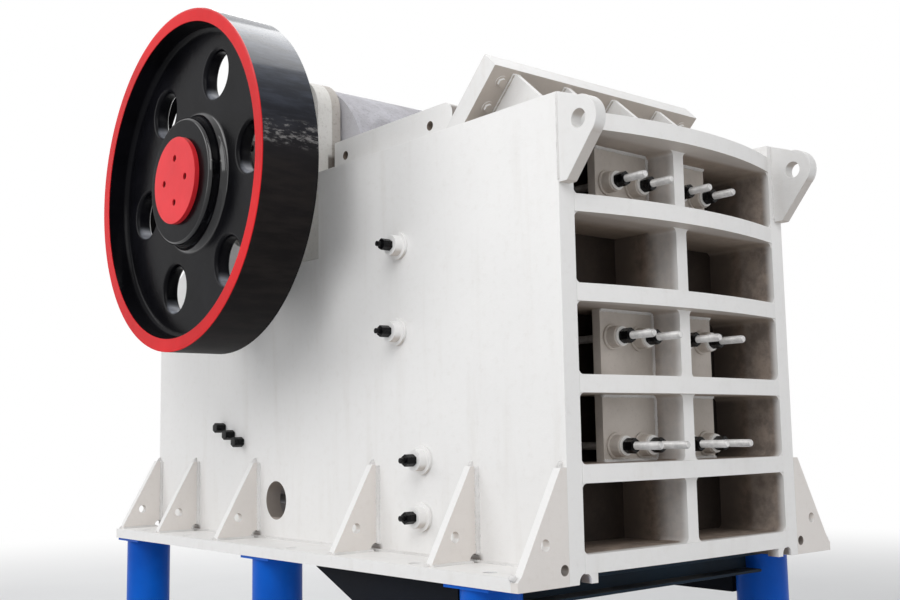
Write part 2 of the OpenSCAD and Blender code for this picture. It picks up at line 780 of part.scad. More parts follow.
// Half section of a wheel in radius and x, with its rim's outer edge given as points. Hub, web
// and rim run into each other in fillets, as in a casting.
module wheel_section(rim_edge) {
    f = wheel_fillet;
    wx = -wheel_x + web_set;
    back = wx + wheel_web_t;
    inner = wheel_r - rim_t;
    hub_in = -wheel_x + wheel_w - hub_back;
    polygon(concat([[shaft_r, -hub_out_x]],
        arc_pts([hub_r - hub_round, -hub_out_x + hub_round], hub_round, -90, 0),
        arc_pts([hub_r + hub_fillet, wx - hub_fillet], hub_fillet, 180, 90),
        arc_pts([inner - f, wx - f], f, 90, 0), [[inner, -wheel_x]],
        rim_edge, [[inner, -wheel_x + wheel_w]],
        arc_pts([inner - f, back + f], f, 0, -90), arc_pts([hub_r + f, back + f], f, -90, -180),
        [[hub_r, hub_in - hub_round], [hub_r - hub_round, hub_in], [shaft_r, hub_in]]));
}

// The holes through the web, with rounded edges
module web_holes() for (k = [0:5])
    translate([-wheel_x, shaft_y, shaft_z]) rotate([60 * k - 8, 0, 0])
        translate([0, web_hole_pcd, 0]) rotate([0, 90, 0]) rotate_extrude($fn = 36) {
            r = web_hole_r;
            e = hole_round;
            polygon(concat([[0, 0], [r + e, 0]], arc_pts([r + e, web_set + e], e, -90, -180, 3),
                arc_pts([r + e, web_set + wheel_web_t - e], e, 180, 90, 3),
                [[r + e, wheel_w], [0, wheel_w]]));
        }

module flywheel() color(black) placed() difference() {
    turned() wheel_section([[wheel_r, -wheel_x], [wheel_r, -wheel_x + wheel_w]]);
    web_holes();
}

module drive_pulley() color(black) placed() mirror([1, 0, 0]) difference() {
    turned() wheel_section(groove_edge());
    web_holes();
}

// Outer edge of the pulley rim with its belt grooves
function groove_edge() = let (pitch = wheel_w / grooves) concat([[wheel_r, -wheel_x]],
    [for (i = [0:grooves - 1], k = [0:3]) [wheel_r - (k == 0 || k == 3 ? 0 : groove_d),
        -wheel_x + pitch * (i + [0.12, 0.32, 0.68, 0.88][k])]],
    [[wheel_r, -wheel_x + wheel_w]]);

module end_cap() difference() {
    bar_x(-hub_out_x - cap_t, -hub_out_x, cap_r, shaft_y, shaft_z);
    for (a = [0:90:270]) translate([-hub_out_x - cap_t, shaft_y, shaft_z]) rotate([a, 0, 0])
        translate([-cut, cap_hole_pcd, 0]) rotate([0, 90, 0]) cylinder(h = cap_t / 2, r = cap_hole_r);
}

module flywheel_cap() color(red) placed() end_cap();
module pulley_cap() color(red) placed() mirror([1, 0, 0]) end_cap();

// Frame along the toggle plate, from its front seat to the rear
module along_toggle() translate([0, toggle_y0, toggle_z0]) rotate([toggle_angle, 0, 0]) children();

module toggle_plate() color(grey) placed() along_toggle() {
    translate([-toggle_x, 0, -toggle_t / 2]) cube([2 * toggle_x, toggle_l, toggle_t]);
    for (y = [0, toggle_l]) bar_x(-toggle_x, toggle_x, toggle_end_r, y, 0);
}

module toggle_seat() color(grey) placed() along_toggle() difference() {
    translate([-seat_x, toggle_l, -toggle_seat_h / 2]) cube([2 * seat_x, toggle_seat_l, toggle_seat_h]);
    bar_x(-seat_x - cut, seat_x + cut, toggle_end_r + seat_gap, toggle_l, 0);
}

module toggle_beam() color(cream) placed() along_toggle()
    translate([-in_x + beam_gap, toggle_l + toggle_seat_l, -toggle_beam_h / 2])
        cube([2 * (in_x - beam_gap), toggle_beam_l, toggle_beam_h]);

// The rear wall, stiffened behind by two level ribs, a top rib and two uprights
module rear_wall() color(cream) placed() {
    difference() {
        translate([-in_x, rear_wall_y, bottom_z])
            cube([2 * in_x, rear_wall_t, rear_wall_h - bottom_z]);
        for (s = [-1, 1]) bar_y(rear_wall_y - cut, rear_face_y + cut, tension_r + rod_play,
            s * tension_x, tension_z);
    }
    for (i = [0:2]) translate([-in_x, rear_face_y, rear_rib_z(i)])
        cube([2 * in_x, rear_rib_d, rear_rib_t]);
    for (s = [-1, 1]) translate([s * tension_x - rear_rib_t / 2, rear_face_y, rear_rib_z(0)])
        cube([rear_rib_t, rear_rib_d, rear_wall_h - rear_rib_z(0)]);
}

// A tension rod with the washer and the nut that hold its spring. Its front end lies on the
// face of the pitman's seat block.
module tension_rods() color(steel) placed() for (s = [-1, 1]) {
    difference() {
        bar_y(toggle_y0 - block_down, spring_end_y + spring_washer_t + tension_nut_l + rod_tip,
            tension_r, s * tension_x, tension_z);
        along_toggle() translate([s * tension_x - 2 * tension_r, -2 * block_down, -2 * block_down])
            cube([4 * tension_r, 2 * block_down, 4 * block_down]);
    }
    bar_y(spring_end_y, spring_end_y + spring_washer_t, spring_r + 5, s * tension_x, tension_z);
    nut_y(spring_end_y + spring_washer_t, spring_end_y + spring_washer_t + tension_nut_l,
        2 * tension_r, s * tension_x, tension_z);
}

// Centre line of a spring: closed end turns, and open turns between them
spring_turns = 6;
ring_n = 16;
wire_n = 8;
dead_rise = 2 * wire_r + 1;
spring_start = wire_r / 2;
function spring_y(u) = u < 1 ? spring_start + dead_rise * u
    : u > spring_turns - 1 ? spring_l - spring_start - dead_rise * (spring_turns - u)
    : spring_start + dead_rise
        + (spring_l - 2 * spring_start - 2 * dead_rise) * (u - 1) / (spring_turns - 2);

// A round wire wound about y, with both ends ground flat
module spring() intersection() {
    n = spring_turns * ring_n;
    points = [for (i = [0:n], k = [0:wire_n - 1])
        let (a = 360 * i / ring_n, w = 360 * k / wire_n, r = spring_r - wire_r + wire_r * cos(w))
            [r * cos(a), spring_y(i / ring_n) + wire_r * sin(w), r * sin(a)]];
    sides = [for (i = [0:n - 1], k = [0:wire_n - 1]) let (j = (k + 1) % wire_n)
        [i * wire_n + k, i * wire_n + j, (i + 1) * wire_n + j, (i + 1) * wire_n + k]];
    polyhedron(points, concat([[for (k = [wire_n - 1:-1:0]) k]], sides,
        [[for (k = [0:wire_n - 1]) n * wire_n + k]]));
    bar_y(0, spring_l, spring_r + cut, 0, 0);
}

module tension_springs() color(black) placed() for (s = [-1, 1])
    translate([s * tension_x, rear_face_y, tension_z]) spring();

module pipe_stand() {
    low = -stand_h + end_plate_t;
    difference() {
        translate([0, 0, low]) cylinder(h = stand_h - 2 * end_plate_t, r = pipe_r);
        translate([0, 0, low + 5]) cylinder(h = stand_h - 2 * end_plate_t - 10, r = pipe_r - pipe_wall);
    }
    for (z = [-stand_h, -end_plate_t]) translate([-end_plate / 2, -end_plate / 2, z])
        cube([end_plate, end_plate, end_plate_t]);
}

module pipe_stands() color(blue) placed() for (s = [-1, 1], y = pipe_ys)
    translate([s * pipe_x, y, 0]) pipe_stand();

// A wide flange beam between the two front stands
module front_cross_beam() color(navy) placed() {
    x1 = pipe_x - end_plate / 2;
    for (z = [-cross_h, -cross_t]) translate([-x1, pipe_ys[0] - cross_w / 2, z])
        cube([2 * x1, cross_w, cross_t]);
    translate([-x1, pipe_ys[0] - cross_t / 2, -cross_h]) cube([2 * x1, cross_t, cross_h]);
}

module side_girders() color(navy) placed() for (s = [-1, 1]) {
    y0 = pipe_ys[0] + end_plate / 2;
    translate([s * pipe_x, 0, 0]) slab_x(-girder_w / 2, girder_w / 2)
        polygon([[y0, 0], [y0, -girder_h], [girder_y - girder_slant, -girder_h],
            [girder_y, -girder_tip], [girder_y, 0]]);
}

side_plate(-1);  // side_plate_left
side_plate(1);  // side_plate_right
front_back_plate();
front_ribs();
front_top_plate();
front_bottom_plate();
front_center_web();
bolt_plates();
jaw_bolt_sleeves();
jaw_bolt_washers();
jaw_bolt_nuts();
jaw_bolt_rods();
base_flange(-1);  // base_flange_left
base_flange(1);  // base_flange_right
gussets(-1);  // gussets_left
gussets(1);  // gussets_right
lifting_lug(-1);  // lifting_lug_left
lifting_lug(1);  // lifting_lug_right
side_bolt_sleeves();
side_bolt_ends();
beam_bolts();
cheek_plate(-1);  // cheek_plate_left
cheek_plate(1);  // cheek_plate_right
fixed_jaw();
moving_jaw();
pitman();
feed_guard();
feed_guard_ribs();
bearing_housing(-1);  // bearing_housing_left
bearing_housing(1);  // bearing_housing_right
bearing_covers();
eccentric_shaft();
flywheel();
flywheel_cap();
drive_pulley();
pulley_cap();
toggle_plate();
toggle_seat();
toggle_beam();
rear_wall();
tension_rods();
tension_springs();
pipe_stands();
front_cross_beam();
side_girders();
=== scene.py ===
"""The looks of a jaw crusher that stands on blue pipe stands."""

import math

import bpy
from mathutils import Matrix, Vector


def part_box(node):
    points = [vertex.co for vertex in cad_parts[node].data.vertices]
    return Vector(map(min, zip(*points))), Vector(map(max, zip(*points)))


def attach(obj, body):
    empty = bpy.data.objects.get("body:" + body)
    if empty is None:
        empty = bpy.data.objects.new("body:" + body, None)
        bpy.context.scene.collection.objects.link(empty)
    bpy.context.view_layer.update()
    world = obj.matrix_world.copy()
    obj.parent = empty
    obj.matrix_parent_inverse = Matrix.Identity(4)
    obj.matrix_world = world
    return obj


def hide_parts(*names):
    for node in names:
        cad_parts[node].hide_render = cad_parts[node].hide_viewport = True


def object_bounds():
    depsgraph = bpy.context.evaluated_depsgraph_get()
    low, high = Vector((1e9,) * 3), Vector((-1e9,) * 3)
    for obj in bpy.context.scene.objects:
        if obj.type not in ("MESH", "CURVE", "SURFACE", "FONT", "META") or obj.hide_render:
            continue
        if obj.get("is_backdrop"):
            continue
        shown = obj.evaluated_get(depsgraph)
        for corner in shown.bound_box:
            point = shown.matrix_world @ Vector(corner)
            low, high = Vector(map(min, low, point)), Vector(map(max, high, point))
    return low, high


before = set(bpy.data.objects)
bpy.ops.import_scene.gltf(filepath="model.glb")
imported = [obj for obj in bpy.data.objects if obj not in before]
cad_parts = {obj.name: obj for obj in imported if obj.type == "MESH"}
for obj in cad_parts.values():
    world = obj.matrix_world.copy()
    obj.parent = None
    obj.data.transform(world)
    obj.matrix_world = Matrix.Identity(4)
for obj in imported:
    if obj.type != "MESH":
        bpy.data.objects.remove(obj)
cad_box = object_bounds()

# Camera
# The view is from the front left at eye height, turned a little upwards, through a lens of
# middle length. The camera is rolled by less than one degree.
camera_place = Vector((-4.092, -4.937, 1.508))
camera_yaw, camera_pitch, camera_roll = (math.radians(a) for a in (40.05, 6.862, -0.949))
camera_data = bpy.data.cameras.new("camera")
camera_data.sensor_width = 36
camera_data.lens = 44.84
camera = bpy.data.objects.new("camera", camera_data)
bpy.context.scene.collection.objects.link(camera)
camera.matrix_world = (
    Matrix.Translation(camera_place)
    @ Matrix.Rotation(-camera_yaw, 4, "Z")
    @ Matrix.Rotation(math.pi / 2 + camera_pitch, 4, "X")
    @ Matrix.Rotation(camera_roll, 4, "Z")
)
bpy.context.scene.camera = camera
bpy.context.scene.view_settings.view_transform = "Standard"

# Studio
# A pale floor that fades into a white surround. Large soft lamps stand on the left, in front,
# behind and above, and two narrow strips show in the gloss paint.


class Shade:
    """One output of a node in a material. Arithmetic on it adds Math nodes there."""

    def __init__(self, tree, socket=None):
        self.tree, self.socket = tree, socket

    def node(self, kind, settings=None, inputs=None, out=0):
        """Adds a node, sets it up, feeds its sockets, and gives back one of its outputs."""
        made = self.tree.nodes.new(kind)
        for name, value in (settings or {}).items():
            setattr(made, name, value)
        for key, value in (inputs or {}).items():
            if isinstance(value, Shade):
                self.tree.links.new(value.socket, made.inputs[key])
            else:
                made.inputs[key].default_value = value
        return Shade(self.tree, made.outputs[out] if made.outputs else None)

    def math(self, operation, first, second=0.0):
        return self.node("ShaderNodeMath", {"operation": operation}, {0: first, 1: second})

    def __add__(self, other):
        return self.math("ADD", self, other)

    def __sub__(self, other):
        return self.math("SUBTRACT", self, other)

    def __rsub__(self, other):
        return self.math("SUBTRACT", other, self)

    def __mul__(self, other):
        return self.math("MULTIPLY", self, other)

    def __abs__(self):
        return self.math("ABSOLUTE", self)

    def __or__(self, other):
        return self.math("MAXIMUM", self, other)

    __radd__, __rmul__ = __add__, __mul__

    def between(self, low, high):
        """0 below low and 1 above high, with a smooth step from one to the other."""
        settings = {"interpolation_type": "SMOOTHSTEP"}
        inputs = {"Value": self, "From Min": low, "From Max": high}
        return self.node("ShaderNodeMapRange", settings, inputs)

    def tint(self, low, high):
        """The colour low where this is 0, and the colour high where it is 1."""
        inputs = {0: self}
        for key, colour in ((6, low), (7, high)):
            inputs[key] = colour if isinstance(colour, Shade) else (*colour, 1)
        return self.node("ShaderNodeMix", {"data_type": "RGBA"}, inputs, out=2)

    def axis(self, index):
        return self.node("ShaderNodeSeparateXYZ", inputs={0: self}, out=index)

    def stretched(self, x, y, z):
        settings = {"operation": "MULTIPLY"}
        return self.node("ShaderNodeVectorMath", settings, {0: self, 1: (x, y, z)})

    def noise(self, scale, detail=4.0, rough=0.55):
        inputs = {"Vector": self, "Scale": scale, "Detail": detail, "Roughness": rough}
        return self.node("ShaderNodeTexNoise", inputs=inputs)

    def beyond(self, centre, radius, soft=0.0012):
        """0 near a line along X through centre, and 1 at radius from it and further out."""
        across, up = self.axis(1) - centre.y, self.axis(2) - centre.z
        far = across * across + up * up
        return far.between((radius - soft) ** 2, radius ** 2)


def rays_that_see_the_surround(start):
    """1 for rays from the camera, from gloss and through glass, and 0 for the light's own."""
    camera_ray = start.node("ShaderNodeLightPath", out="Is Camera Ray")
    glossy_ray = start.node("ShaderNodeLightPath", out="Is Glossy Ray")
    clear_ray = start.node("ShaderNodeLightPath", out="Is Transmission Ray")
    return camera_ray | glossy_ray | clear_ray


world = bpy.data.worlds.new("surround")
world.use_nodes = True
world.node_tree.nodes.clear()
air = Shade(world.node_tree)
seen = rays_that_see_the_surround(air)
sky_light = 0.42
strength = seen * (1 - sky_light) + sky_light
colour = seen.tint((0.96, 0.967, 0.985), (1, 1, 1))
sky = air.node("ShaderNodeBackground", inputs={"Color": colour, "Strength": strength})
air.node("ShaderNodeOutputWorld", inputs={"Surface": sky})
bpy.context.scene.world = world

bpy.ops.object.select_all(action="DESELECT")
bpy.ops.mesh.primitive_plane_add(size=120)
floor = bpy.context.object
floor.name = "floor"
floor_material = bpy.data.materials.new("pale_floor")
floor_material.use_nodes = True
floor_material.node_tree.nodes.clear()
ground = Shade(floor_material.node_tree)
ground_place = ground.node("ShaderNodeTexCoord", out="Object")
ground_colour = ground_place.noise(0.8).tint((0.66, 0.665, 0.67), (0.73, 0.735, 0.74))
ground_coat = {"Base Color": ground_colour, "Roughness": 0.6, "Specular IOR Level": 0.2}
ground_shader = ground.node("ShaderNodeBsdfPrincipled", inputs=ground_coat)
away = ground.node("ShaderNodeVectorMath", {"operation": "LENGTH"}, {0: ground_place}, out=1)
fade_start, fade_end = 4.5, 13.0
fade = away.between(fade_start, fade_end) * rays_that_see_the_surround(ground)
white = ground.node("ShaderNodeEmission", inputs={"Color": (1, 1, 1, 1), "Strength": 1.0})
ground_shader = ground.node("ShaderNodeMixShader", inputs={0: fade, 1: ground_shader, 2: white})
ground.node("ShaderNodeOutputMaterial", inputs={"Surface": ground_shader})
floor.data.materials.append(floor_material)
floor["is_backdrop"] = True

lamp_target = Vector((0, 0, 1.9))
LAMPS = [
    ("key", (-6.5, -5.0, 7.5), (6.0, 6.0), 355),
    ("side", (-7.5, 4.5, 5.5), (5.0, 5.0), 215),
    ("front", (4.0, -10.0, 4.0), (6.0, 6.0), 124),
    ("rear", (5.0, 9.0, 6.5), (6.0, 6.0), 280),
    ("above", (1.8, 0.9, 9.5), (5.0, 5.0), 190),
    ("left_strip", (-5.6, -0.6, 6.2), (0.12, 5.0), 22),
    ("front_strip", (-2.4, -6.5, 6.6), (5.0, 0.12), 22),
]
for name, place, size, power in LAMPS:
    lamp_data = bpy.data.lights.new(name, "AREA")
    lamp_data.shape = "RECTANGLE"
    lamp_data.size, lamp_data.size_y = size
    lamp_data.energy = power
    lamp = bpy.data.objects.new(name, lamp_data)
    bpy.context.scene.collection.objects.link(lamp)
    lamp.location = place
    lamp.rotation_euler = (lamp_target - lamp.location).to_track_quat("-Z", "Y").to_euler()

# Pipe stands
# Six pieces of thick pipe with square plates welded on top and bottom. They are sprayed
# with bright blue gloss paint.
side_low, side_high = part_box("side_plate_left")


def machine(x, y, z):
    """A point given in millimetres from the foot of the front wall, in the middle."""
    return Vector((x / 1000, side_low.y + y / 1000, side_low.z + z / 1000))


def start_edit(thing):
    """Makes thing the only selected object, in edit mode with its whole mesh selected."""
    bpy.ops.object.select_all(action="DESELECT")
    thing.select_set(True)
    bpy.context.view_layer.objects.active = thing
    bpy.ops.object.mode_set(mode="EDIT")
    bpy.ops.mesh.select_all(action="SELECT")


def apply_modifier(thing, kind, **settings):
    bpy.context.view_layer.objects.active = thing
    modifier = thing.modifiers.new(kind.lower(), kind)
    for name, value in settings.items():
        setattr(modifier, name, value)
    bpy.ops.object.modifier_apply(modifier=modifier.name)


def merged(node):
    """A copy of a CAD node, with its loose triangles merged, left in edit mode."""
    made = bpy.data.objects.new(node + "_made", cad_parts[node].data.copy())
    bpy.context.scene.collection.objects.link(made)
    start_edit(made)
    bpy.ops.mesh.customdata_custom_splitnormals_clear()
    bpy.ops.mesh.remove_doubles(threshold=0.00002)
    return made


def edged(node, edge, sharp=35):
    """A copy of a CAD node whose sharp edges are rounded by edge, in millimetres."""
    made = merged(node)
    bpy.ops.mesh.dissolve_limited(angle_limit=math.radians(0.5))
    bpy.ops.object.mode_set(mode="OBJECT")
    settings = {"limit_method": "ANGLE", "angle_limit": math.radians(sharp)}
    apply_modifier(made, "BEVEL", width=edge / 1000, segments=2, **settings)
    bpy.ops.object.shade_smooth_by_angle(angle=math.radians(sharp))
    apply_modifier(made, "WEIGHTED_NORMAL", keep_sharp=True)
    return made


def finished(thing, nodes, material, body="frame"):
    """Gives a piece its finish, puts it on its body, and hides the CAD nodes it stands for."""
    thing.data.materials.clear()
    thing.data.materials.append(material)
    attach(thing, body)
    if nodes:
        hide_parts(*nodes)


def dress(nodes, edge, material, body="frame"):
    """Finishes each of these CAD nodes in the same way, with its sharp edges rounded."""
    for node in nodes:
        finished(edged(node, edge), [node], material, body)


def start_finish(name):
    """A new material, and its Object coordinates to paint by."""
    material = bpy.data.materials.new(name)
    material.use_nodes = True
    material.node_tree.nodes.clear()
    place = Shade(material.node_tree).node("ShaderNodeTexCoord", out="Object")
    return material, place


def end_finish(place, inputs):
    shader = place.node("ShaderNodeBsdfPrincipled", inputs=inputs)
    place.node("ShaderNodeOutputMaterial", inputs={"Surface": shader})


def facing(place, index):
    """How far the surface faces along one axis, from -1 to 1."""
    return place.node("ShaderNodeTexCoord", out="Normal").axis(index)


def gloss_paint(name, colour, deep, rough=0.3, shine=0.25, holes=()):
    """Sprayed gloss paint: cloudy in tone, with orange peel, dust on top, small scuffs and
    painted shade in holes.
    """
    material, place = start_finish(name)
    dust, hole_shade_tone = (0.5, 0.47, 0.42), (0.012, 0.006, 0.006)
    cloud = place.noise(1.7, 5.0)
    cloudy = cloud.between(0.3, 0.7)
    scuff = place.stretched(1, 1, 0.35).noise(34, 7.0, 0.7).between(0.68, 0.76)
    level = facing(place, 2).between(0.6, 0.95)
    tone = cloudy.tint(deep, colour)
    tone = (scuff * 0.2).tint(tone, dust)
    tone = (level * cloudy * 0.3).tint(tone, dust)
    # Painted shade: the holes are near black.
    for spot, radius in holes:
        hole_shade = 1 - place.beyond(spot, radius)
        tone = (hole_shade * 0.9).tint(tone, hole_shade_tone)
    height = place.noise(150, 2.0) * 0.4 + place.noise(9, 3.0)
    bump = place.node("ShaderNodeBump", inputs={"Distance": 0.0012, "Height": height})
    dull = rough + 0.14 * cloud + 0.3 * scuff + 0.25 * level
    coat = {"Base Color": tone, "Roughness": dull, "Normal": bump, "Specular IOR Level": shine}
    end_finish(place, coat)
    return material


blue_paint = gloss_paint("blue_paint", (0.001, 0.12, 0.62), (0.001, 0.08, 0.46), shine=0.12)
dress(["pipe_stands"], 4, blue_paint)

# Beams under the frame
# A wide flange beam joins the front stands, and a girder lies under each base flange. They
# are painted dark navy, almost black.
navy_tones = (0.007, 0.024, 0.046), (0.003, 0.010, 0.020)
navy_paint = gloss_paint("navy_paint", *navy_tones, 0.4, 0.12)
dress(["front_cross_beam"], 3, navy_paint)
girder_tones = (0.003, 0.005, 0.010), (0.002, 0.003, 0.006)
girder_paint = gloss_paint("girder_paint", *girder_tones, 0.5, 0.1)
dress(["side_girders"], 3, girder_paint)

# Base flanges and gussets
# Thick plates welded along the foot of the side plates, with holes for anchor bolts, and
# triangular gussets on them. All of the frame is painted cream.
flange_low, flange_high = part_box("base_flange_left")
plate_x, plate_in_x = abs(side_low.x), abs(side_high.x)
wall_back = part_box("front_back_plate")[1].y
ACCESS_HOLES = [(machine(0, 2237, 265), 0.1055)]
CREAM = (0.86, 0.852, 0.84)
COPE_YS = [machine(0, y, 0).y for y in (20, 571, 1304, 2441, 3163)] + [side_high.y - 0.02]


def pocket_shade_mask(place):
    """Painted shade in the front wall's pockets: 0 at their mouths and outside, 1 deep inside."""
    x, y, z = (place.axis(i) for i in range(3))
    front, pocket_top = side_low.y, side_high.z - 0.063
    within = 1 - abs(x).between(plate_in_x + 0.001, plate_in_x + 0.003)
    within = within * (1 - y.between(wall_back - 0.03, wall_back))
    within = within * (1 - z.between(pocket_top - 0.003, pocket_top))
    right = x.between(-0.02, 0.02)
    upward = facing(place, 2).between(0.5, 0.9)
    near = y.between(front + 0.004, front + 0.05) * (0.42 + 0.42 * right)
    near = near | (y.between(front + 0.02, front + 0.06) * upward * 0.9)
    return (near | y.between(front + 0.02, front + 0.22) * 0.94) * within


def round_mask(place, spot_x, spot_z, radius, soft):
    """1 within radius of a line along Y on either side of the machine, and 0 outside it.

    The squared distance fades over soft, which is in square metres.
    """
    reach, rise = abs(place.axis(0)) - spot_x, place.axis(2) - spot_z
    return 1 - (reach * reach + rise * rise - radius * radius).between(-soft, 0.0)


def cope_hole_shade(place):
    """Painted shade in the gussets' cope holes. The front gussets have smaller ones."""
    front_one = 1 - place.axis(1).between(side_low.y + 0.045, side_low.y + 0.05)
    spot_x, radius = plate_x + 0.018 + 0.009 * front_one, 0.0292 - 0.0056 * front_one
    return round_mask(place, spot_x, flange_high.z + 0.010, radius, 0.0001)


def cope_corner_shade(place):
    """Painted shade on the side plates and flanges, beside the gussets' cope holes."""
    out, rise, y = abs(place.axis(0)) - plate_x, place.axis(2) - flange_high.z, place.axis(1)
    corner = out.between(-0.001, 0.0) * (1 - out.between(0.012, 0.045))
    corner = corner * (1 - rise.between(0.012, 0.045))
    return corner * sum(1 - abs(y - spot).between(0.025, 0.06) for spot in COPE_YS)


def cream_enamel(name, cream=CREAM, shade_and_mottle=(0.62, 0.58, 0.53), underside_shade=0.6, holes=ACCESS_HOLES):
    """Cream paint with painted shade in pockets, holes, notches, the chamber and on undersides.
    """
    material, place = start_finish(name)
    y, up = place.axis(1), facing(place, 2)
    cloud = place.noise(1.3, 6.0)
    mottle = place.noise(26, 6.0, 0.65)
    patch = place.noise(16, 7.0, 0.72)
    shade_streak = place.stretched(4, 4, 0.45).noise(2.2, 5.0, 0.6)
    tone = (cloud.between(0.3, 0.75) * 0.4).tint(cream, tuple(0.945 * c for c in cream))
    # Painted shade in soft vertical streaks as on a wavy plate, and random mottle, in the darker
    # tone.
    tone = (shade_streak.between(0.5, 0.85) * 0.25).tint(tone, shade_and_mottle)
    tone = (mottle.between(0.5, 0.8) * 0.16).tint(tone, shade_and_mottle)
    # Painted shade: the cream turns dark brown deep in the front wall's pockets.
    front, pocket_shade = side_low.y, pocket_shade_mask(place)
    pocket_shade_tone = patch.between(0.35, 0.65).tint((0.135, 0.09, 0.062), (0.32, 0.235, 0.175))
    pocket_shade_tone = y.between(front + 0.12, front + 0.34).tint(pocket_shade_tone, (0.105, 0.072, 0.05))
    tone = (pocket_shade * (0.94 + 0.1 * cloud)).tint(tone, pocket_shade_tone)
    # Painted shade: faces that look down are tinted brown.
    tone = ((0 - up).between(0.3, 0.8) * underside_shade).tint(tone, (0.40, 0.325, 0.26))
    on_gussets = name == "gusset_shaded_paint"
    # Painted light: on the gussets, faces that look up are lit back to full cream.
    if on_gussets:
        tone = up.between(0.2, 0.38).tint(tone, CREAM)
    # Painted shade in and beside the cope holes.
    cope_shade = cope_hole_shade(place) if on_gussets else cope_corner_shade(place)
    tone = (cope_shade * 0.85).tint(tone, (0.13, 0.10, 0.08))
    # Painted shade: faces that look forward deep in the chamber are dark brown.
    forward = (0 - facing(place, 1)).between(0.5, 0.9)
    chamber_shade = forward * y.between(wall_back + 0.2, wall_back + 0.3)
    chamber_shade = chamber_shade * (1 - abs(place.axis(0)).between(plate_in_x - 0.003, plate_in_x))
    tone = (chamber_shade * 0.8).tint(tone, (0.12, 0.09, 0.07))
    # Painted shade in the round notch at the front foot of each side plate.
    notch_radius, notch_soft = 0.0366, 0.0000864
    notch_shade = round_mask(place, plate_in_x - 0.002, side_low.z + 0.008, notch_radius, notch_soft)
    tone = (notch_shade * y.between(front + 0.003, front + 0.02) * 0.8).tint(tone, (0.16, 0.125, 0.10))
    # Painted shade inside the access holes and other holes.
    for spot, radius in holes:
        hole_shade = 1 - place.beyond(spot, radius)
        tone = (hole_shade * 0.85).tint(tone, (0.19, 0.15, 0.12))
    chip = place.noise(60, 8.0, 0.75).between(0.74, 0.755)
    tone = (chip * 0.5).tint(tone, (0.3, 0.27, 0.24))
    height = place.noise(170, 2.0) * 0.35 + mottle * 0.8 + place.noise(2.4, 3.0) * 5.0
    bump = place.node("ShaderNodeBump", inputs={"Distance": 0.0014, "Height": height})
    dull = 0.4 + 0.2 * mottle + 0.25 * pocket_shade
    coat = {"Base Color": tone, "Roughness": dull, "Normal": bump, "Specular IOR Level": 0.4}
    end_finish(place, coat)
    return material


cream_paint = cream_enamel("cream_paint")
# The gussets get a darker, warmer copy of the cream, as painted shade.
gusset_shaded_paint = cream_enamel("gusset_shaded_paint", (0.80, 0.76, 0.725), (0.58, 0.51, 0.45))
for side in ("_left", "_right"):
    dress(["base_flange" + side], 3, cream_paint)
    dress(["gussets" + side], 3, gusset_shaded_paint)

# Side plates
# Rolled plate, cut to its outline by flame, with a round access hole that is flat at its
# foot. The bearing housing sits in a notch in the top edge.
dress(["side_plate_left", "side_plate_right"], 3, cream_paint)

# Front wall
# Ribs, webs and a back plate are welded to a grid of pockets between the side plates. The
# back plate is painted near black and the pocket walls brown, as painted shade.


def flat_paint(name, colour, deep, grain=0.0012, rough=0.55):
    """A thin dull coat over plate or casting: cloudy, speckled and a little rough."""
    material, place = start_finish(name)
    cloud = place.noise(2.5, 6.0, 0.6)
    speck = place.noise(85, 5.0, 0.7)
    tone = cloud.between(0.3, 0.7).tint(deep, colour)
    tone = (speck.between(0.55, 0.75) * 0.35).tint(tone, tuple(0.6 * c for c in deep))
    height = place.noise(14, 5.0) * 1.2 + speck
    bump = place.node("ShaderNodeBump", inputs={"Distance": grain, "Height": height})
    coat = {"Base Color": tone, "Roughness": rough + 0.25 * speck, "Normal": bump}
    end_finish(place, {**coat, "Specular IOR Level": 0.3})
    return material


# The back of the pockets is painted near black: painted shade.
pocket_back_shade = flat_paint("pocket_back_shade", (0.05, 0.036, 0.028), (0.02, 0.014, 0.011))
plate_paint = flat_paint("plate_paint", (0.66, 0.61, 0.56), (0.52, 0.475, 0.43), 0.0008)
dress(["front_back_plate"], 3, pocket_back_shade)
grid = ["front_ribs", "front_top_plate", "front_bottom_plate", "front_center_web"]
dress(grid, 3, cream_paint)
dress(["bolt_plates"], 3, plate_paint)

# Lifting lugs
# Thick lugs cut by flame, one at the top of the front edge of each side plate. They are
# welded on, and painted a little darker than the plates.
lug_paint = cream_enamel("lug_paint", (0.77, 0.763, 0.752))
dress(["lifting_lug_left", "lifting_lug_right"], 5, lug_paint)

# Welds of the frame
# Beads of weld under the paint: up both sides of each gusset and along its foot, over its
# top and toe, along the flanges, up the lugs, and round the bolt plates.


def solids(node):
    """The lowest and highest corner of each separate solid of a CAD node, low to high."""
    merged(node)
    bpy.ops.mesh.separate(type="LOOSE")
    bpy.ops.object.mode_set(mode="OBJECT")
    boxes = []
    for part in bpy.context.selected_objects:
        spots = [v.co for v in part.data.vertices]
        corners = [Vector([pick(s[i] for s in spots) for i in range(3)]) for pick in (min, max)]
        boxes.append(corners)
    bpy.ops.object.delete()
    return sorted(boxes, key=lambda box: [round(box[0][i], 3) for i in (2, 0, 1)])


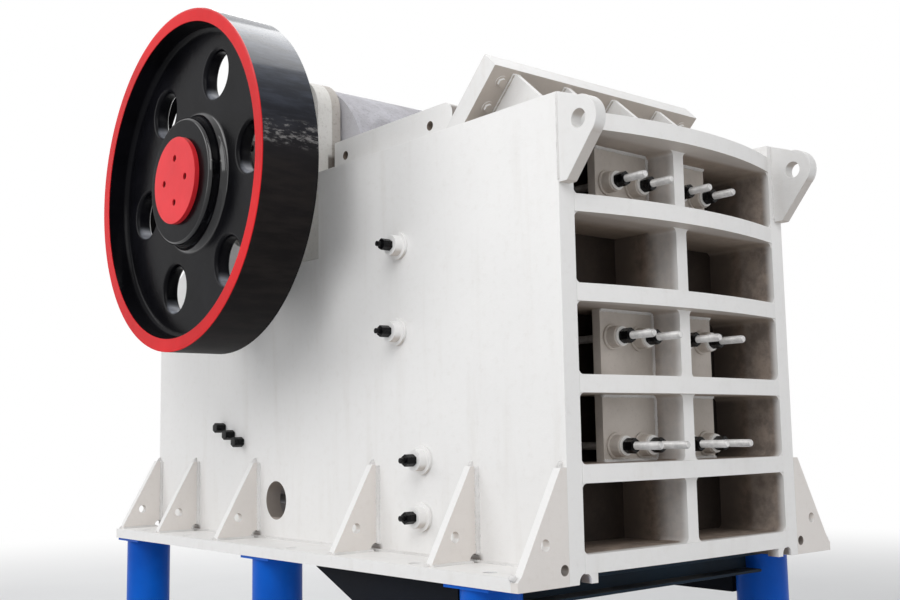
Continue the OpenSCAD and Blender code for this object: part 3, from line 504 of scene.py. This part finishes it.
def ringed(name, radius, groove, pitch, count, sides):
    """A round bar up the Z axis with a groove at each pitch, and closed flat ends."""
    bpy.ops.object.select_all(action="DESELECT")
    bpy.ops.mesh.primitive_circle_add(vertices=sides, radius=radius - groove)
    bar = bpy.context.object
    bar.name = name
    start_edit(bar)
    swell = radius / (radius - groove)
    for size in (swell, 1 / swell):
        bpy.ops.mesh.extrude_region_move(TRANSFORM_OT_translate={"value": (0, 0, pitch / 2)})
        bpy.ops.transform.resize(value=(size, size, 1))
    bpy.ops.object.mode_set(mode="OBJECT")
    step = {"use_relative_offset": False, "use_constant_offset": True}
    step["constant_offset_displace"] = (0, 0, pitch)
    merge = {"use_merge_vertices": True, "merge_threshold": 0.0001}
    apply_modifier(bar, "ARRAY", count=count, **merge, **step)
    start_edit(bar)
    bpy.ops.mesh.fill_holes(sides=0)
    bpy.ops.mesh.select_all(action="SELECT")
    bpy.ops.mesh.normals_make_consistent(inside=False)
    bpy.ops.object.mode_set(mode="OBJECT")
    return bar


def set_down(thing, origin, way):
    """Moves a piece made up the Z axis to origin, with that axis turned to way."""
    turn = Vector(way).to_track_quat("Z", "Y").to_matrix().to_4x4()
    thing.matrix_world = Matrix.Translation(origin) @ turn
    bpy.ops.object.select_all(action="DESELECT")
    thing.select_set(True)
    bpy.context.view_layer.objects.active = thing
    bpy.ops.object.transform_apply(location=True, rotation=True, scale=True)
    return thing


def joined(name, things):
    """Makes one object of several."""
    bpy.ops.object.select_all(action="DESELECT")
    for thing in things:
        thing.select_set(True)
    bpy.context.view_layer.objects.active = things[0]
    bpy.ops.object.join()
    things[0].name = name
    return things[0]


lumps = bpy.data.textures.new("lumps", "CLOUDS")
lumps.noise_scale = 0.02


def weld(start, end, size=0.017):
    """A bead of weld from start to end, half sunk in the corner that it fills."""
    way = end - start
    count = max(2, round(way.length / size))
    bead = ringed("bead", size, 0.3 * size, way.length / count, count, 8)
    set_down(bead, start, way)
    apply_modifier(bead, "DISPLACE", texture=lumps, texture_coords="LOCAL", strength=0.6 * size)
    bpy.ops.object.shade_smooth()
    return bead


beads = []
cope = 0.034
foot_bead, top_bead, toe_bead = 0.012, 0.026, 0.014
for side, node in ((-1, "gussets_left"), (1, "gussets_right")):
    seam_x, foot_z = side * plate_x, flange_high.z
    for low, high in solids(node):
        toe_x = low.x if side < 0 else high.x
        faces = [y for y in (low.y, high.y) if side_low.y + 0.01 < y < side_high.y - 0.01]
        for face in faces:
            ends = [Vector((seam_x, face, z)) for z in (foot_z + cope, high.z)]
            beads.append(weld(*ends))
            ends = [Vector((x, face, foot_z)) for x in (toe_x, seam_x + side * cope)]
            beads.append(weld(*ends, foot_bead))
        for x, z, size in ((seam_x, high.z, top_bead), (toe_x, foot_z, toe_bead)):
            ends = [Vector((x, y, z)) for y in (low.y + size, min(high.y, side_high.y - size))]
            beads.append(weld(*ends, size))
    ends = [Vector((seam_x, y, foot_z)) for y in (flange_low.y + 0.03, flange_high.y - 0.02)]
    beads.append(weld(*ends, foot_bead))
lug_bead = 0.009
for node in ("lifting_lug_left", "lifting_lug_right"):
    low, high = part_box(node)
    for x in (low.x + 0.004, high.x - 0.004):
        ends = [Vector((x, side_low.y, z)) for z in (low.z + 0.012, side_high.z - 0.012)]
        beads.append(weld(*ends, lug_bead))
plate_bead, web_bead = 0.014, 0.011
for low, high in solids("bolt_plates"):
    for z in (low.z, high.z):
        ends = [Vector((x, low.y, z)) for x in (low.x, high.x)]
        beads.append(weld(*ends, plate_bead))
    web_x = min(low.x, high.x, key=abs)
    ends = [Vector((web_x, low.y, z)) for z in (low.z, high.z)]
    beads.append(weld(*ends, web_bead))
weld_paint = flat_paint("weld_paint", (0.86, 0.85, 0.84), (0.72, 0.705, 0.69), 0.004, 0.45)
finished(joined("frame_welds", beads), [], weld_paint)

# Jaw bolts
# Twelve threaded rods hold the fixed jaw. Each passes through a welded sleeve and has a
# washer and two black nuts. The bare ends of the rods are bright.


def black_oxide(name):
    """Oiled black steel, with brighter rubbed patches."""
    material, place = start_finish(name)
    rubbed = place.noise(45, 6.0, 0.7).between(0.52, 0.75)
    tone = rubbed.tint((0.003, 0.003, 0.0035), (0.014, 0.014, 0.015))
    bump = place.node("ShaderNodeBump", inputs={"Distance": 0.0005, "Height": place.noise(300)})
    coat = {"Base Color": tone, "Roughness": 0.25 + 0.25 * rubbed, "Normal": bump}
    end_finish(place, {**coat, "Specular IOR Level": 0.15})
    return material


def turned_steel(name, tone=(0.72, 0.71, 0.70), rough=0.38):
    """Machined steel, dulled and stained in patches."""
    material, place = start_finish(name)
    patch = place.noise(12, 6.0, 0.65)
    colour = patch.between(0.35, 0.7).tint(tone, tuple(0.66 * c for c in tone))
    stain = place.noise(90, 5.0, 0.7).between(0.6, 0.72)
    colour = (stain * 0.5).tint(colour, (0.2, 0.17, 0.15))
    bump = place.node("ShaderNodeBump", inputs={"Distance": 0.0004, "Height": place.noise(220)})
    coat = {"Base Color": colour, "Roughness": rough + 0.2 * patch, "Normal": bump}
    end_finish(place, {**coat, "Metallic": 0.35})
    return material


def turned(name, rings, sides=32):
    """A round piece on the Z axis, drawn up from a disc through rings of height and radius."""
    bpy.ops.object.select_all(action="DESELECT")
    (height, radius), *rest = rings
    bpy.ops.mesh.primitive_circle_add(vertices=sides, radius=radius, fill_type="NGON")
    thing = bpy.context.object
    thing.name = name
    start_edit(thing)
    for to_height, to_radius in rest:
        rise = {"value": (0, 0, to_height - height)}
        bpy.ops.mesh.extrude_region_move(TRANSFORM_OT_translate=rise)
        bpy.ops.transform.resize(value=(to_radius / radius, to_radius / radius, 1))
        height, radius = to_height, to_radius
    bpy.ops.mesh.select_all(action="SELECT")
    bpy.ops.mesh.normals_make_consistent(inside=False)
    bpy.ops.object.mode_set(mode="OBJECT")
    return thing


def nut(radius, height):
    """A hexagon nut up the Z axis, its corners turned off at both ends."""
    flat = 0.89 * radius
    rise = 0.6 * (radius - flat)
    rings = [(0, flat), (rise, radius), (height - rise, radius), (height, flat)]
    cone = turned("cone", rings, 48)
    hexagon = turned("nut", [(0, radius), (height, radius)], 6)
    apply_modifier(hexagon, "BOOLEAN", operation="INTERSECT", object=cone, solver="EXACT")
    bpy.data.objects.remove(cone)
    hexagon.select_set(True)
    bpy.ops.object.shade_smooth_by_angle(angle=math.radians(28))
    return hexagon


def copied(thing, spots, way):
    """Copies of a piece made up the Z axis, one set down at each spot. The first one goes."""
    made = []
    for spot in spots:
        twin = thing.copy()
        twin.data = thing.data.copy()
        bpy.context.scene.collection.objects.link(twin)
        made.append(set_down(twin, spot, way))
    bpy.data.objects.remove(thing)
    return made


black_nuts = black_oxide("black_nuts")
bright_steel = turned_steel("bright_steel")
dress(["jaw_bolt_sleeves"], 3, plate_paint)
washer_paint = flat_paint("washer_paint", (0.88, 0.865, 0.84), (0.80, 0.78, 0.75), 0.0008, 0.4)
dress(["jaw_bolt_washers"], 2, washer_paint)
nut_boxes = solids("jaw_bolt_nuts")
nut_low, nut_high = nut_boxes[0]
nut_radius = (nut_high.x - nut_low.x) / 2
nut_step = (nut_high.y - nut_low.y) / 2
nut_gap = 0.0005
nuts = []
for k in range(2):
    spots = [Vector(((a.x + b.x) / 2, b.y - k * nut_step, (a.z + b.z) / 2)) for a, b in nut_boxes]
    nuts += copied(nut(nut_radius, nut_step - nut_gap), spots, (0, -1, 0))
finished(joined("jaw_bolt_nuts_black", nuts), ["jaw_bolt_nuts"], black_nuts)

thread_pitch, thread_groove = 0.006, 0.0022
tip = 0.008
rod_sides = 20
rods = []
for low, high in solids("jaw_bolt_rods"):
    radius = (high.x - low.x) / 2
    axis_x, axis_z = (low.x + high.x) / 2, (low.z + high.z) / 2
    count = int((nut_high.y + 0.02 - low.y - tip) / thread_pitch)
    back_y = low.y + tip + count * thread_pitch
    rod = ringed("rod", radius, thread_groove, thread_pitch, count, rod_sides)
    set_down(rod, Vector((axis_x, back_y, axis_z)), (0, -1, 0))
    rings = [(0, radius - 0.0015), (0.35 * tip, radius - 0.0015), (tip, 0.72 * radius)]
    end = turned("end", rings, rod_sides)
    set_down(end, Vector((axis_x, low.y + tip, axis_z)), (0, -1, 0))
    shank = turned("shank", [(0, radius), (high.y - back_y, radius)], rod_sides)
    set_down(shank, Vector((axis_x, back_y, axis_z)), (0, 1, 0))
    rods += [rod, end, shank]
rods = joined("jaw_bolt_rods_bright", rods)
bpy.ops.object.shade_smooth_by_angle(angle=math.radians(50))
finished(rods, ["jaw_bolt_rods"], bright_steel)

# Bolts in the side plates
# Four bolts a side in short sleeves that are welded on, and three heavy nuts in a slanted
# row that hold the toggle beam.
dress(["side_bolt_sleeves"], 3, cream_paint)
dress(["side_bolt_ends"], 2, black_nuts)
dress(["beam_bolts"], 4, black_nuts)

# Crushing chamber
# Manganese steel jaw plates with teeth, cast and unpainted, between cheek plates. The
# moving jaw hangs on the pitman, a big grey casting that is driven by the shaft.


def raw_casting(name, pale, dark, grease, grain=0.004, ends=(0.2, 0.185, 0.175)):
    """The skin of a sand casting: lumpy and dull, pale at its upper ends and greasy below."""
    material, place = start_finish(name)
    patch = place.noise(3.5, 6.0, 0.6)
    speck = place.noise(70, 5.0, 0.7)
    blotch = place.noise(11, 6.0, 0.7).between(0.55, 0.72)
    tone = patch.between(0.3, 0.7).tint(dark, pale)
    tone = (speck.between(0.5, 0.7) * 0.45).tint(tone, tuple(0.5 * c for c in dark))
    tone = (blotch * 0.4).tint(tone, (0.27, 0.235, 0.20))
    vein = place.noise(6, 8.0, 0.75).between(0.54, 0.62)
    tone = (vein * 0.3).tint(tone, tuple(0.6 * c for c in dark))
    grease_top = side_high.z - 0.5
    upper = place.axis(2).between(grease_top, grease_top + 0.2)
    tone = (abs(facing(place, 0)).between(0.6, 0.95) * upper * 0.6).tint(tone, ends)
    tone = ((1 - upper) * 0.6).tint(tone, grease)
    height = place.noise(16, 5.0) * 1.5 + speck
    bump = place.node("ShaderNodeBump", inputs={"Distance": grain, "Height": height})
    end_finish(place, {"Base Color": tone, "Roughness": 0.6 + 0.2 * patch, "Normal": bump})
    return material


chamber_grease = (0.11, 0.10, 0.095)
jaw_steel = raw_casting("jaw_steel", (0.24, 0.225, 0.215), (0.13, 0.12, 0.115), chamber_grease)
head_tones = (0.54, 0.535, 0.575), (0.36, 0.35, 0.375), chamber_grease
rough_casting = raw_casting("rough_casting", *head_tones, 0.005, (0.74, 0.73, 0.76))
# The cheek plates' holes get painted shade.
cheek_holes = [(machine(0, 955, 2115), 0.0245), (machine(0, 1680, 2115), 0.0245)]
cheek_paint = cream_enamel("cheek_paint", holes=cheek_holes)
dress(["fixed_jaw", "moving_jaw"], 5, jaw_steel)
dress(["cheek_plate_left", "cheek_plate_right"], 4, cheek_paint)
dress(["pitman", "toggle_plate", "toggle_seat"], 6, rough_casting)

# Feed guard
# A thick sloping plate that throws falling stone into the mouth. Four ribs hold it to the
# front wall, and two painted bolt heads show under each end of it.
guard_low, guard_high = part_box("feed_guard")
# The guard's underside gets strong painted shade.
guard_paint = cream_enamel("guard_paint", (0.79, 0.783, 0.772), (0.55, 0.48, 0.41), 0.78)
dress(["feed_guard", "feed_guard_ribs"], 3, guard_paint)
plate_rise = 0.0707


def under_guard(x, down):
    """A point on the underside of the guard, so far down its slope from the upper edge."""
    edge = Vector((0, guard_low.y, guard_high.z - plate_rise))
    return edge + Vector((0, 1, -1)).normalized() * down + Vector((x, 0, 0))


bolt_x, bolt_rows = 0.653, (0.074, 0.213)
head_radius, head_height = 0.023, 0.016
washer_radius, washer_height = 0.031, 0.004
outward = (0, -1, -1)
heads = []
for side in (-1, 1):
    spots = [under_guard(side * bolt_x, down) for down in bolt_rows]
    heads += copied(nut(head_radius, head_height), spots, outward)
    washer = turned("washer", [(0, washer_radius), (washer_height, washer_radius)])
    heads += copied(washer, spots, outward)
for low, high in solids("feed_guard_ribs"):
    for x in (low.x - 0.002, high.x + 0.002):
        ends = [under_guard(x, down) for down in (0.02, 0.30)]
        heads.append(weld(*ends, lug_bead))
finished(joined("guard_bolts_and_welds", heads), [], guard_paint)

# Bearing housings
# Split castings that hold the shaft, bolted into the notches of the side plates. Their inner
# faces are rough and hardly painted. A ring of bolts holds each bearing cover.


def housing_enamel(name):
    """Cream paint on a casting: thin inside the frame, with painted shade in the slot at the
    front.
    """
    material, place = start_finish(name)
    rough_x, slot_x, slot_top = 0.712, 0.74, machine(0, 0, 2150).z
    out = abs(place.axis(0))
    speck = place.noise(60, 6.0, 0.7)
    cloud = place.noise(3, 5.0)
    rough_part = 1 - out.between(rough_x - 0.007, rough_x)
    tone = cloud.between(0.3, 0.7).tint((0.70, 0.68, 0.64), (0.80, 0.785, 0.75))
    tone = (rough_part * 0.85).tint(tone, (0.47, 0.435, 0.40))
    # Painted shade in the slot at the front of the housing.
    slot_shade = (0 - facing(place, 1)).between(0.5, 0.9) * (1 - out.between(slot_x - 0.01, slot_x))
    slot_shade = slot_shade * (1 - place.axis(2).between(slot_top - 0.03, slot_top))
    tone = (slot_shade * 0.85).tint(tone, (0.09, 0.07, 0.055))
    tone = (speck.between(0.5, 0.7) * (0.25 + 0.35 * rough_part)).tint(tone, (0.3, 0.25, 0.21))
    height = place.noise(18, 5.0) + speck
    bump = place.node("ShaderNodeBump", inputs={"Distance": 0.003, "Height": height})
    coat = {"Base Color": tone, "Roughness": 0.5 + 0.3 * speck, "Normal": bump}
    end_finish(place, {**coat, "Specular IOR Level": 0.35})
    return material


def round_spots(centre, radius, count, first=0.0):
    """Points at equal steps round a line along X through centre."""
    turns = [math.tau * (k + first) / count for k in range(count)]
    return [centre + Vector((0, math.cos(turn), math.sin(turn))) * radius for turn in turns]


housing_paint = housing_enamel("housing_paint")
castings = ["bearing_housing_left", "bearing_housing_right", "bearing_covers"]
dress(castings, 5, housing_paint)
cover_low, cover_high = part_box("bearing_covers")
shaft_centre = (cover_low + cover_high) / 2
ring_radius, ring_count = 0.24, 8
head_radius, head_height = 0.021, 0.015
cover_bolts = []
for side in (-1, 1):
    cover_face = Vector((side * cover_high.x, shaft_centre.y, shaft_centre.z))
    spots = round_spots(cover_face, ring_radius, ring_count, 0.5)
    cover_bolts += copied(nut(head_radius, head_height), spots, (side, 0, 0))
finished(joined("cover_bolts", cover_bolts), [], black_nuts)

# Rear wall, toggle beam and tension rods
# The beam takes the thrust of the toggle plate. Two rods with coil springs pull the pitman
# back against it, through the rear wall.
dress(["toggle_beam", "rear_wall"], 3, cream_paint)
oily_steel = turned_steel("oily_steel", (0.16, 0.15, 0.14), 0.45)
dress(["tension_rods"], 2, oily_steel)
black_gloss = gloss_paint("black_gloss", (0.006, 0.006, 0.007), (0.003, 0.003, 0.004), 0.16)
finished(edged("tension_springs", 1, 60), ["tension_springs"], black_gloss)

# Flywheel, pulley and shaft
# Cast wheels with six round holes, keyed to the ends of the shaft and held by red end caps.
# They are gloss black, and the outer face of the rims is picked out in red.
wheel_low, wheel_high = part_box("flywheel")
wheel_centre = (wheel_low + wheel_high) / 2


def wheel_enamel(name):
    """Gloss black with a red rim face. The tread is dusty, and scuffed by a sling.

    Painted sheen lies on the top of the tread, and painted glints at the feet of the holes.
    """
    material, place = start_finish(name)
    red = (0.72, 0.02, 0.025)
    hub_edge, hub_foot, rim_foot, red_edge = 0.33, 0.43, 0.80, 0.8465
    tread_r, face_x = wheel_high.z - wheel_centre.z - 0.004, abs(wheel_low.x) - 0.003
    across, up = place.axis(1) - wheel_centre.y, place.axis(2) - wheel_centre.z
    cloud = place.noise(2.2, 5.0)
    cloudy = cloud.between(0.3, 0.7)
    dust_and_sheen = place.stretched(0.6, 3, 3).noise(6, 6.0, 0.65).between(0.35, 0.7)
    tone = cloudy.tint((0.0022, 0.0022, 0.003), (0.006, 0.006, 0.008))
    tread = place.beyond(wheel_centre, tread_r, 0.008)
    high_part = up.between(-0.1, 0.75)
    tone = (tread * (1 - high_part) * (0.4 + 0.5 * dust_and_sheen)).tint(tone, (0.018, 0.015, 0.014))
    # Painted sheen: the top of the tread is tinted pale blue, broken up by dust.
    tone = (tread * high_part * (0.3 + 0.5 * dust_and_sheen)).tint(tone, (0.10, 0.12, 0.165))
    curved = 1 - abs(facing(place, 0)).between(0.93, 0.995)
    web = place.beyond(wheel_centre, hub_foot, 0.02)
    # Painted glint: pale feet of the holes in the web, broken up by dust.
    hole_foot_glint = web * (1 - place.beyond(wheel_centre, rim_foot, 0.02)) * curved
    hole_foot_glint = hole_foot_glint * facing(place, 2).between(0.3, 0.8)
    tone = (hole_foot_glint * (0.3 + 0.4 * dust_and_sheen)).tint(tone, (0.40, 0.42, 0.47))
    scuff = place.stretched(1.2, 6, 4).noise(11, 8.0, 0.7).between(0.48, 0.62)
    band = up.between(0.0, 0.05) * (1 - up.between(0.12, 0.17)) * (1 - across.between(-0.8, -0.6))
    scuff = scuff * band * tread
    tone = (scuff * 0.6).tint(tone, (0.30, 0.29, 0.285))
    face = abs(place.axis(0)).between(face_x - 0.0015, face_x)
    face = face * place.beyond(wheel_centre, red_edge, 0.003)
    tone = face.tint(tone, cloudy.tint(red, tuple(0.8 * c for c in red)))
    height = place.noise(150, 2.0) * 0.3 + place.noise(7, 3.0) * 1.4
    bump = place.node("ShaderNodeBump", inputs={"Distance": 0.0016, "Height": height})
    dull = 0.15 + 0.1 * cloud + tread * (1 - high_part) * 0.3 + 0.3 * scuff
    glaze = place.beyond(wheel_centre, hub_edge, 0.03) * (1 - web) * curved
    glaze = glaze | (tread * up.between(0.2, 0.5) * 0.6)
    coat = {"Base Color": tone, "Roughness": dull, "Normal": bump, "Specular IOR Level": 0.06}
    end_finish(place, {**coat, "Coat Weight": glaze, "Coat Roughness": 0.1})
    return material


dress(["eccentric_shaft"], 4, bright_steel, "rotor")
# The caps' bolt holes get painted shade.
hole_ring, hole_radius = 0.12, 0.0185
cap_holes = [(spot, hole_radius) for spot in round_spots(wheel_centre, hole_ring, 4)]
red_tones = (0.80, 0.035, 0.045), (0.62, 0.022, 0.03)
red_paint = gloss_paint("red_paint", *red_tones, 0.22, 0.12, cap_holes)
dress(["flywheel_cap", "pulley_cap"], 3, red_paint, "rotor")
wheel_paint = wheel_enamel("wheel_paint")
dress(["flywheel", "drive_pulley"], 3, wheel_paint, "rotor")

# Sizes
size = [[list(map(float, corner)) for corner in box] for box in (cad_box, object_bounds())]
